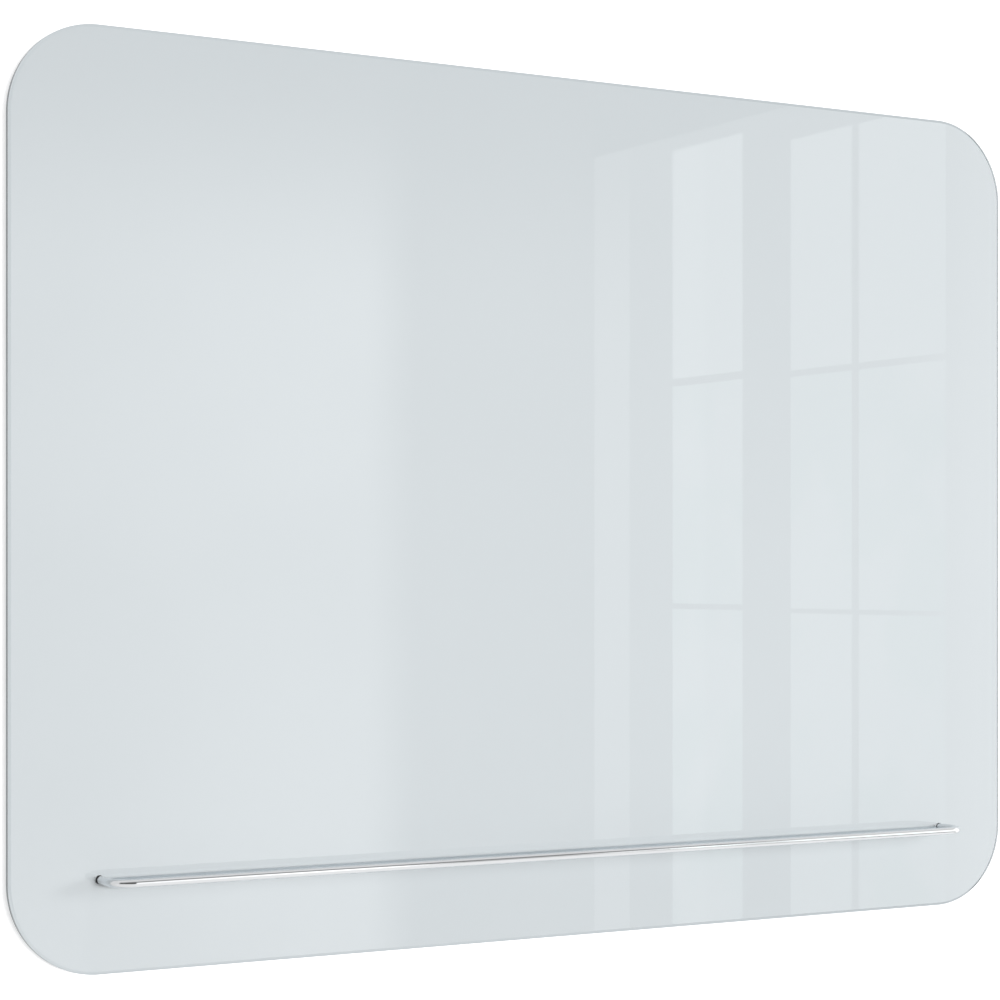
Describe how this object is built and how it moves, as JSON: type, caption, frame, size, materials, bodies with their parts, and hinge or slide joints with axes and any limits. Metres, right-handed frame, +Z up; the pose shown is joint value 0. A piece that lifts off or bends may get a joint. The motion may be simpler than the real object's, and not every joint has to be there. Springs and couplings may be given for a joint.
{
  "type": "glass whiteboard",
  "caption": "Frameless wall-hung glass writing board with rounded corners, a bent chrome pen rail with a tray plate, and a concealed hook rail it lifts off.",
  "frame": {"origin": "middle of the wall rail's back face, on the wall plane", "axes": "+X to the right as seen by the writer, +Y into the wall, +Z up; the writing surface faces -Y"},
  "size_m": [1.2, 0.069, 0.9],
  "materials": {
    "toughened_glass": "polished, bevelled edge",
    "white_coat": "fired pale grey-white colour layer",
    "zinc_steel": "zinc-coated sheet",
    "chrome_rod": "bright chrome plate",
    "satin_steel": "satin, brushed lengthwise",
    "black_rubber": "matt",
    "plated_fastener": "zinc plated",
    "mill_aluminium": "mill finish extrusion",
    "foam_tape": "closed-cell foam bonding tape",
    "moulded_spacer": "fine moulded texture"
  },
  "bodies": {
    "wall_side": {"wall_rail": "mill_aluminium"},
    "board": {"glass_pane": "toughened_glass", "colour_coat": "white_coat", "steel_back_sheet": "zinc_steel", "pen_rail_rod": "chrome_rod", "tray_plate": "satin_steel", "rail_grommet_left": "black_rubber", "rail_grommet_right": "black_rubber", "rail_gasket_left": "black_rubber", "rail_gasket_right": "black_rubber", "rail_washer_left": "plated_fastener", "rail_washer_right": "plated_fastener", "rail_nut_left": "plated_fastener", "rail_nut_right": "plated_fastener", "hook_rail": "mill_aluminium", "rail_tape_lower": "foam_tape", "rail_tape_upper": "foam_tape", "spacer_tape_left": "foam_tape", "spacer_tape_right": "foam_tape", "spacer_block_left": "moulded_spacer", "spacer_block_right": "moulded_spacer", "wall_bumper_left": "black_rubber", "wall_bumper_right": "black_rubber"}
  },
  "joints": [
    {"name": "board_lift", "type": "slide", "parent": "wall_side", "child": "board", "axis": [0, 0, 1], "range_m": [0, 0.012]}
  ]
}
